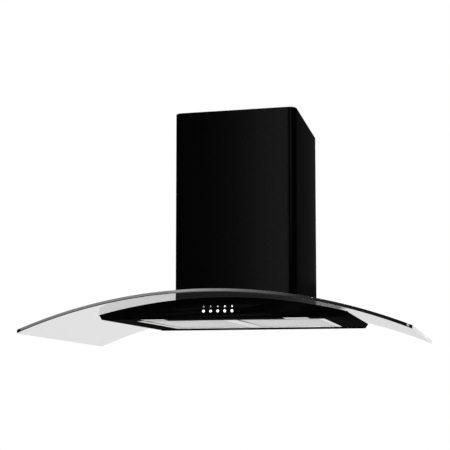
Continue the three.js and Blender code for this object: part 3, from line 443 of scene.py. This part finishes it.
# Frosted acrylic: milky warm white with a soft, wide shine.
frosted, place = surface("frosted_acrylic", "#f4f3ef", IOR=1.49, Roughness=0.5)
fog = noise(frosted, place, size=3 * MM)
feed(frosted, "Base Color", tones(frosted, fog, (0.3, "#f0efeb"), (0.7, "#f8f7f3")))
for side in SIDES:
    refined(f"lamp_lens_{side}", "hood", frosted, "frosted_lens", width=0.4 * MM)
finish_on(("lamp_housing_left", "lamp_housing_right"), grey)
finish_on(("lamp_board_left", "lamp_board_right"), board)

# ---------------------------------------------------------------- filter seat and clips
# A welded frame of zinc plated steel round the filter opening, with two leaf springs at the
# front of each filter.

CLIPS_PER_FILTER = 2
refined("filter_frame", "hood", zinc, "zinc_steel", width=0.3 * MM)
for side in SIDES:
    for i in range(CLIPS_PER_FILTER):
        refined(f"filter_clip_{side}_{i + 1}", "hood", zinc, "zinc_steel", width=0.12 * MM)

# ---------------------------------------------------------------- grease filters
# Two drop-down filters: layers of expanded aluminium foil in a channel rolled from aluminium
# sheet, each with a wire pull handle that folds flat into a pocket.

# Rolled aluminium: pale satin metal with fine lines along the rolling direction.
rolled_alu, place = surface("rolled_aluminium", "#e3e3e1", Metallic=1.0)
along = add(rolled_alu, "ShaderNodeMapping", {"Vector": place, "Scale": (0.05, 1.0, 1.0)})
lines = noise(rolled_alu, along.outputs["Vector"], size=0.7 * MM)
feed(rolled_alu, "Base Color", tones(rolled_alu, lines, (0.3, "#dcdcda"), (0.7, "#eaeae8")))
feed(rolled_alu, "Roughness", mapped(rolled_alu, lines, onto=(0.3, 0.42)))


def maths(owner, operation, first, second):
    """The result of one calculation with two values."""
    return add(owner, "ShaderNodeMath", {0: first, 1: second},
               operation=operation).outputs["Value"]


# Expanded foil mesh: slanting bright strands 5 mm apart both ways, with duller gaps between them.
MESH_PITCH = 5 * MM
MESH_SLANT = math.radians(45)
WAVE_SCALE = math.pi / (10 * MESH_PITCH)   # puts the bands of a wave texture one pitch apart
foil, place = surface("expanded_aluminium_foil", "#cfcfcd", Metallic=1.0, Roughness=0.42)
slanting = add(foil, "ShaderNodeMapping", {"Vector": place, "Rotation": (0, 0, MESH_SLANT)})
strands = [add(foil, "ShaderNodeTexWave", {"Vector": slanting.outputs["Vector"],
                                           "Scale": WAVE_SCALE},
               wave_type="BANDS", bands_direction=direction).outputs["Fac"]
           for direction in ("X", "Y")]
web = maths(foil, "MAXIMUM", *strands)
feed(foil, "Base Color", tones(foil, web, (0.45, "#a2a2a0"), (0.7, "#dfdfdd")))
raise_relief(foil, web, strength=0.5, distance=0.5 * MM)

# The flanges under each channel stand 1 mm lower at the front than at the hinge, and the foil sags
# a little. The walls of the handle's pocket are lined with the lamps' milky plastic, which mirrors
# nothing. Their pale tone is a painted reflection, in place of the light line that bright metal
# walls catch.
FLANGE_DROP = 1.0 * MM
FLANGE_HEIGHT = 0.85 * MM        # how far above the channel's lowest face the flanges reach
FOIL_SAG = 0.1 * MM
FOIL_FACE = 0.1 * MM             # how far above the foil's lowest face its underside reaches
POCKET_SIDE = 6 * MM             # from the handle to the pocket's walls, and a little more
POCKET_BACK = 12 * MM
UPRIGHT = 0.3                    # a face whose normal's Z is smaller than this is a wall
foil_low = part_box("filter_mesh_left")[0].z
channel_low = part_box("filter_channel_left")[0].z
for side in SIDES:
    channel = refined(f"filter_channel_{side}", f"filter_{side}", rolled_alu, "aluminium",
                      width=0.3 * MM, segments=3)
    low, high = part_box(f"filter_channel_{side}")
    for vertex in channel.data.vertices:
        if vertex.co.z < channel_low + FLANGE_HEIGHT:
            vertex.co.z -= FLANGE_DROP * (high.y - vertex.co.y) / (high.y - low.y)
    # The pocket's pale lining is a painted reflection, standing in for the light that its metal
    # walls would catch.
    channel.data.materials.append(frosted)
    low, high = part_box(f"filter_handle_{side}")
    for polygon in channel.data.polygons:
        x, y = polygon.center.xy
        beside = low.x - POCKET_SIDE < x < high.x + POCKET_SIDE
        between = low.y - POCKET_SIDE < y < high.y + POCKET_BACK
        if beside and between and abs(polygon.normal.z) < UPRIGHT:
            polygon.material_index = 1
    layers = refined(f"filter_mesh_{side}", f"filter_{side}", foil, "aluminium", width=0.3 * MM)
    for vertex in layers.data.vertices:
        if vertex.co.z < foil_low + FOIL_FACE:
            vertex.co.z -= FOIL_SAG


CORNER_STEPS = 6


def rounded_corner(before, corner, after, radius):
    """Points of the curve that rounds a corner off."""
    enter = corner + (before - corner).normalized() * radius
    leave = corner + (after - corner).normalized() * radius
    shares = [i / CORNER_STEPS for i in range(CORNER_STEPS + 1)]
    return [enter * (1 - t) ** 2 + corner * 2 * t * (1 - t) + leave * t ** 2 for t in shares]


# The pull handle is one bent zinc plated wire: two pivot ends, two arms and a grip, with rounded
# bends.
WIRE_RADIUS = 1.4 * MM
WIRE_BEND = 4 * MM
WIRE_ROUNDNESS = 5
PIVOT_REACH = 6.8 * MM           # each pivot end, from the middle of its arm
for side in SIDES:
    low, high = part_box(f"filter_handle_{side}")
    pivot_y = low.y + WIRE_RADIUS
    grip_y = high.y - WIRE_RADIUS
    z = (low.z + high.z) / 2
    left_arm = low.x + PIVOT_REACH
    right_arm = high.x - PIVOT_REACH
    corners = [Vector((x, y, z)) for x, y in (
        (low.x, pivot_y), (left_arm, pivot_y), (left_arm, grip_y),
        (right_arm, grip_y), (right_arm, pivot_y), (high.x, pivot_y))]
    route = [corners[0]]
    for before, corner, after in zip(corners, corners[1:], corners[2:]):
        route += rounded_corner(before, corner, after, WIRE_BEND)
    route.append(corners[-1])
    wire = bpy.data.curves.new(f"pull_handle_{side}", "CURVE")
    wire.dimensions = "3D"
    wire.bevel_depth = WIRE_RADIUS
    wire.bevel_resolution = WIRE_ROUNDNESS
    wire.use_fill_caps = True
    spline = wire.splines.new("POLY")
    spline.points.add(len(route) - 1)
    for point, position in zip(spline.points, route):
        point.co = (*position, 1.0)
    handle = bpy.data.objects.new(f"pull_handle_{side}", wire)
    bpy.context.collection.objects.link(handle)
    dressed(handle, f"handle_{side}", zinc, "bright_metal", f"filter_handle_{side}")

# ---------------------------------------------------------------- rubber gasket and clamp frame
# A rubber strip lies between tray and glass. Above the glass a frame of zinc plated angle holds
# it down with four screws, and keeps the chimney in its place.

# Black rubber: dull and almost without shine, with a faint cloudy bloom.
rubber, place = surface("black_rubber", "#0d0d0d", IOR=1.52)
bloom = noise(rubber, place, size=4 * MM, detail=4.0)
feed(rubber, "Roughness", mapped(rubber, bloom, onto=(0.75, 0.95)))
feed(rubber, "Base Color", tones(rubber, bloom, (0.3, "#0b0b0b"), (0.7, "#111111")))
finish_on(("glass_gasket",), rubber)
refined("clamp_frame", "hood", zinc, "zinc_steel", width=0.3 * MM)
SCREW_ROWS = ("front", "back")
for side in SIDES:
    for row in SCREW_ROWS:
        refined(f"glass_screw_{row}_{side}", "hood", zinc, "zinc_steel", width=0.25 * MM)

# ---------------------------------------------------------------- glass canopy
# One sheet of clear tempered glass, 6 mm thick, bent to an even arch across its width. Its edges
# are ground and polished, and it has a notch at the back for the motor housing.

GLASS_THICKNESS = 6 * MM
GLASS_SIDE_TAPER = 16 * MM       # each side stands this much further in at the front
GLASS_CORNER = 5 * MM
GLASS_EDGE = 0.7 * MM
NOTCH_CORNER = 4 * MM
NOTCH_GAP = 1.5 * MM             # round the motor housing
GLASS_HOLE = 4 * MM              # radius of the screws' holes
GLASS_HOLE_STEPS = 32
ARCH_STEPS = 180
ARCH_WIDER = 1.01                # the arch is made this much wider, and then cut to its plan
CUTTER_PAST = 50 * MM            # how far the cutter reaches past the glass, up and down
SHEET_PAST = 5 * MM              # how far the sheet reaches past its plan before it is cut
DRILL_BELOW = 60 * MM
DRILL_LENGTH = 120 * MM
glass_low, glass_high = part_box("glass_canopy")
glass_half = glass_high.x
glass_crown = glass_high.z - GLASS_THICKNESS
arch_drop = glass_crown - glass_low.z
arch_radius = (glass_half ** 2 + arch_drop ** 2) / (2 * arch_drop)


def arch_height(x, above=0.0):
    """Height at x of the surface `above` the underside of the glass."""
    return glass_crown - arch_radius + math.sqrt((arch_radius + above) ** 2 - x * x)


def carve(piece, cutter, operation):
    """Cuts or crops a mesh with another for good, and takes the cutter away."""
    step = piece.modifiers.new("carve", "BOOLEAN")
    step.operation = operation
    step.solver = "EXACT"
    step.object = cutter
    shaped = piece.evaluated_get(bpy.context.evaluated_depsgraph_get())
    mesh = bpy.data.meshes.new_from_object(shaped)
    piece.modifiers.clear()
    piece.data = mesh
    bpy.data.objects.remove(cutter)


arch_x = [glass_half * ARCH_WIDER * (1 - 2 * i / ARCH_STEPS) for i in range(ARCH_STEPS + 1)]
section = [(x, arch_height(x, GLASS_THICKNESS)) for x in arch_x]
section += [(x, arch_height(x)) for x in reversed(arch_x)]
canopy = solid("curved_glass", *([Vector((x, y, z)) for x, z in section]
                                 for y in (glass_low.y - SHEET_PAST, SHEET_PAST)))

housing_low, housing_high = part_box("motor_housing")
notch_half = housing_high.x + NOTCH_GAP
notch_front = housing_low.y - NOTCH_GAP
front_half = glass_half - GLASS_SIDE_TAPER
right_plan = [((front_half, glass_low.y), GLASS_CORNER), ((glass_half, glass_high.y), GLASS_CORNER),
              ((notch_half, glass_high.y), GLASS_EDGE), ((notch_half, notch_front), NOTCH_CORNER)]
plan_corners = right_plan + [((-x, y), radius) for (x, y), radius in reversed(right_plan)]
plan = []
for i, (corner, radius) in enumerate(plan_corners):
    before = Vector(plan_corners[i - 1][0])
    after = Vector(plan_corners[(i + 1) % len(plan_corners)][0])
    plan += rounded_corner(before, Vector(corner), after, radius)
cutter = solid("glass_plan", *([Vector((p.x, p.y, z)) for p in plan]
                               for z in (glass_low.z - CUTTER_PAST, glass_high.z + CUTTER_PAST)))
carve(canopy, cutter, "INTERSECT")
for side in SIDES:
    for row in SCREW_ROWS:
        low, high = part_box(f"glass_screw_{row}_{side}")
        foot = Vector(((low.x + high.x) / 2, (low.y + high.y) / 2, glass_crown - DRILL_BELOW))
        drill = turned("glass_drill", [(0, 0), (GLASS_HOLE, 0), (GLASS_HOLE, DRILL_LENGTH),
                                       (0, DRILL_LENGTH)], GLASS_HOLE_STEPS, "z", foot)
        carve(canopy, drill, "DIFFERENCE")


def blend_in(material, share, shader):
    """Mixes a share of another shader into the material's own."""
    nodes = material.node_tree.nodes
    mix = add(material, "ShaderNodeMixShader", {
        0: share, 1: nodes["Principled BSDF"].outputs["BSDF"], 2: shader})
    material.node_tree.links.new(mix.outputs["Shader"], nodes["Material Output"].inputs["Surface"])


# Clear tempered glass: colourless with a thin grey haze. The haze is partly the glass's own grey
# tint and partly a painted glow: a faint white emission that stands in for light scattered in the
# sheet. Light mostly goes straight through, so mirror images stay as weak as on coated glass. Only
# a narrow band, seen nearly edge-on, mirrors its surroundings, and beyond it the sheet is all
# clear.
STRAIGHT = 0.7                   # share of the light that goes straight through
STRAIGHT_IN_BAND = 0.1           # the same in the band that mirrors
BAND_BEGINS = (0.941, 0.9515)    # slants, from 0 for a sheet seen squarely to 1 for one edge-on
BAND_ENDS = (0.958, 0.960)
LEAVING_SLANT = 0.26             # light that leaves the sheet at more than this isn't bent
# The faint emission below is a painted glow, in place of light scattered in the glass.
clear, place = surface("clear_tempered_glass", "#dadada", IOR=1.5, Roughness=0.0,
                       Transmission_Weight=1.0, Emission_Strength=0.02,
                       Emission_Color=linear("#ffffff"))
film = noise(clear, place, size=120 * MM)
feed(clear, "Base Color", tones(clear, film, (0.3, "#d8d8d8"), (0.7, "#dcdcdc")))
slant = add(clear, "ShaderNodeLayerWeight", {"Blend": 0.5}).outputs["Facing"]
falling = mapped(clear, slant, span=BAND_BEGINS, onto=(STRAIGHT, STRAIGHT_IN_BAND))
rising = mapped(clear, slant, span=BAND_ENDS, onto=(STRAIGHT_IN_BAND, 1.0))
share = add(clear, "ShaderNodeMix", {
    "Factor": add(clear, "ShaderNodeNewGeometry").outputs["Backfacing"],
    "A": maths(clear, "MAXIMUM", falling, rising),
    "B": maths(clear, "GREATER_THAN", slant, LEAVING_SLANT)})
straight = add(clear, "ShaderNodeBsdfTransparent", {"Color": linear("#ededed")})
blend_in(clear, share.outputs["Result"], straight.outputs["BSDF"])

# Ground front edge: dull grey with a trace of green, because one looks along the sheet here. Its
# colour also holds painted reflections of the surroundings it would mirror: painted mid grey on the
# left and in the middle and almost black to the right, with painted black tips and one painted
# glint near the right one. Its lower third is painted darker, as painted shade.
EDGE_PAINTED_REFLECTIONS = (                   # share of the width from the left, and the painted reflection there
    (0.031, "#020202"), (0.034, "#5e6361"), (0.2, "#666766"), (0.405, "#666666"),
    (0.435, "#7c7d7d"), (0.5, "#6c6d6d"), (0.6, "#4a4b4b"), (0.72, "#151716"),
    (0.82, "#020303"), (0.9655, "#000000"), (0.967, "#9a9a9a"), (0.969, "#9a9a9a"),
    (0.9705, "#000000"))
EDGE_DARK_BELOW = 1.4 * MM       # above the underside of the glass; below this the painted shade is full
EDGE_FULL_ABOVE = 2.2 * MM
FACES_FRONT = -0.5               # a face whose normal's Y is smaller than this faces forward
edge, place = surface("polished_glass_edge", "#5a605e", IOR=1.5, Roughness=0.3,
                      Specular_IOR_Level=0.02)
spot = add(edge, "ShaderNodeSeparateXYZ", {"Vector": place}).outputs
# Painted reflections along the edge: light on the left, near black on the right, with a painted
# glint near the right tip.
painted_reflection = tones(edge, mapped(edge, spot["X"], span=(-glass_half, glass_half)), *EDGE_PAINTED_REFLECTIONS)
from_axis = add(edge, "ShaderNodeCombineXYZ", {
    "X": spot["X"], "Z": maths(edge, "SUBTRACT", spot["Z"], glass_crown - arch_radius)})
radius = add(edge, "ShaderNodeVectorMath", {0: from_axis.outputs["Vector"]}, operation="LENGTH")
rise = mapped(edge, radius.outputs["Value"],
              span=(arch_radius + EDGE_DARK_BELOW, arch_radius + EDGE_FULL_ABOVE))
# Painted shade: the lower third of the edge is darkened.
shade = tones(edge, rise, (0.0, "#929292"), (1.0, "#ffffff"))
shaded = add(edge, "ShaderNodeMix", {0: 1.0, 6: painted_reflection, 7: shade}, data_type="RGBA",
             blend_type="MULTIPLY")
feed(edge, "Base Color", shaded.outputs[2])

dressed(rounded(canopy, GLASS_EDGE, segments=3, angle=50), "hood", edge, "glass", "glass_canopy")
canopy.data.materials.append(clear)
for polygon in canopy.data.polygons:
    polygon.material_index = 0 if polygon.normal.y < FACES_FRONT else 1

# ---------------------------------------------------------------- chimney covers
# Two covers folded from steel sheet and powder coated in gloss black, open at the back: the
# outer one stands on the glass, the inner one draws up out of it to meet the ceiling.

COVER_SHEET = 1 * MM
COVER_CORNER = 15 * MM
COVER_RETURN = 13 * MM           # how far the back edges are turned in
COVER_HEM = 0.3 * MM
COVER_CORNER_STEPS = 16
FRONT_STEPS = 48
GLASS_CLEARANCE = 0.5 * MM
outer_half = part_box("chimney_outer")[1].x


def cover_line(half, front, back, corner, inset):
    """Points of one face of the sheet: back flange, side, rounded corner, front, and so on."""
    half, front, back, corner = half - inset, front + inset, back - inset, corner - inset
    right = [Vector((outer_half - COVER_RETURN, back)), Vector((half, back))]
    for i in range(COVER_CORNER_STEPS + 1):
        angle = -math.pi / 2 * i / COVER_CORNER_STEPS
        right.append(Vector((half - corner + corner * math.cos(angle),
                             front + corner + corner * math.sin(angle))))
    across = [Vector(((half - corner) * (1 - 2 * i / FRONT_STEPS), front))
              for i in range(1, FRONT_STEPS)]
    left = [Vector((-p.x, p.y)) for p in reversed(right)]
    return right + across + left


def folded_cover(name, node, body, foot):
    """A cover whose section is the sheet's, from `foot` (a height for each x) up to its top."""
    low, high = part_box(node)
    corner = COVER_CORNER - (outer_half - high.x)
    outside, inside = (cover_line(high.x, low.y, high.y, corner, inset)
                       for inset in (0.0, COVER_SHEET))
    loop = outside + inside[::-1]
    shell = bmesh.new()
    bottom = [shell.verts.new((p.x, p.y, foot(p.x))) for p in loop]
    top = [shell.verts.new((p.x, p.y, high.z)) for p in loop]
    count = len(loop)
    for i in range(count):
        j = (i + 1) % count
        shell.faces.new((bottom[i], bottom[j], top[j], top[i]))
    for row in (bottom, top):
        for i in range(count // 2 - 1):
            k = count - 1 - i
            shell.faces.new((row[i], row[i + 1], row[k - 1], row[k]))
    bmesh.ops.recalc_face_normals(shell, faces=shell.faces)
    piece = rounded(new_piece(name, shell), COVER_HEM, angle=40)
    return dressed(piece, body, black, "black_paint", node)


folded_cover("outer_chimney_cover", "chimney_outer", "hood",
             lambda x: arch_height(x, GLASS_THICKNESS + GLASS_CLEARANCE))
inner_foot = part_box("chimney_inner")[0].z
folded_cover("inner_chimney_cover", "chimney_inner", "chimney_inner", lambda x: inner_foot)

# ---------------------------------------------------------------- studio
# A pale floor, a white surround, and four soft lamps: a tall narrow one in front whose soft edge
# the black chimney mirrors, one to the right for its corner, a broad one above, and a small one
# behind for the upper edges.

WHITE = (1.0, 1.0, 1.0, 1.0)
AMBIENT = 0.45                   # how strongly the white surround lights the hood


def seen_directly(owner):
    """1 for what the camera sees, also in a mirror image and through glass, or else 0."""
    path = add(owner, "ShaderNodeLightPath").outputs
    seen = maths(owner, "MAXIMUM", path["Is Camera Ray"], path["Is Glossy Ray"])
    return maths(owner, "MAXIMUM", seen, path["Is Transmission Ray"])


world = bpy.data.worlds.new("white_surround")
bpy.context.scene.world = world
world.use_nodes = True
world.cycles.sampling_method = "NONE"
surround = world.node_tree.nodes["Background"]
surround.inputs["Color"].default_value = WHITE
world.node_tree.links.new(mapped(world, seen_directly(world), onto=(AMBIENT, 1.0)),
                          surround.inputs["Strength"])

# Floor: matt and pale, and shown as plain white from some way off, so that it has no edge.
FLOOR_MIDDLE = Vector((0, -0.3, -3.2))
FLOOR_RADIUS = 5.0
FLOOR_STEPS = 96
FADE_BEGINS = 1.5                # from the floor's middle
FADE_ENDS = 4.6
floor = turned("studio_floor", [(0, 0), (FLOOR_RADIUS, 0)], FLOOR_STEPS, "z", FLOOR_MIDDLE)
paper, place = surface("pale_floor", "#efefef", Roughness=0.9, Specular_IOR_Level=0.0)
distance = add(paper, "ShaderNodeVectorMath", {0: place}, operation="LENGTH").outputs["Value"]
fade = mapped(paper, distance, span=(FADE_BEGINS, FADE_ENDS), interpolation_type="SMOOTHSTEP")
glow = add(paper, "ShaderNodeEmission", {"Color": WHITE, "Strength": 1.0})
blend_in(paper, maths(paper, "MULTIPLY", seen_directly(paper), fade), glow.outputs["Emission"])
floor.data.materials.append(paper)


def softbox(name, position, target, width, height, radiance):
    """A rectangular lamp whose face has this radiance, aimed at a point of the hood."""
    lamp = bpy.data.lights.new(name, "AREA")
    lamp.shape = "RECTANGLE"
    lamp.size = width
    lamp.size_y = height
    lamp.energy = math.pi * width * height * radiance
    holder = bpy.data.objects.new(name, lamp)
    holder.location = position
    holder.rotation_euler = (Vector(target) - Vector(position)).to_track_quat("-Z", "Y").to_euler()
    holder.visible_camera = False
    holder.visible_transmission = False
    bpy.context.collection.objects.link(holder)


hood_middle = (0.0, -0.28, 0.05)
chimney_top = (0.1, -0.1, 0.4)
softbox("strip_lamp", (-0.62, -4.5, 0.6), hood_middle, width=0.3, height=2.6, radiance=42.0)
softbox("side_lamp", (1.6, -3.2, 1.1), hood_middle, width=1.3, height=1.3, radiance=15.0)
softbox("top_lamp", (0.0, -0.9, 2.4), hood_middle, width=2.2, height=2.2, radiance=1.0)
softbox("rim_lamp", (0.1, 1.0, 0.4), chimney_top, width=0.28, height=0.8, radiance=10.0)

# The camera stands low and to the right and looks a little upwards. A small shift of the picture
# keeps the upright edges of the chimney nearly parallel.
PICTURE = 450                    # pixels
FOCAL_PIXELS = 1030.2
SHIFT_PIXELS = 70
SENSOR = 36.0
CAMERA_PLACE = (0.4533, -2.2963, -0.3222)
TILT = 0.0853                    # radians up from level
TURN = 0.2304                    # radians to the left of straight ahead
camera = bpy.data.cameras.new("camera")
camera.sensor_width = SENSOR
camera.lens = FOCAL_PIXELS * SENSOR / PICTURE
camera.shift_y = SHIFT_PIXELS / PICTURE
holder = bpy.data.objects.new("camera", camera)
holder.location = CAMERA_PLACE
holder.rotation_euler = (math.pi / 2 + TILT, 0.0, TURN)
bpy.context.collection.objects.link(holder)
bpy.context.scene.camera = holder
bpy.context.scene.view_settings.view_transform = "Standard"
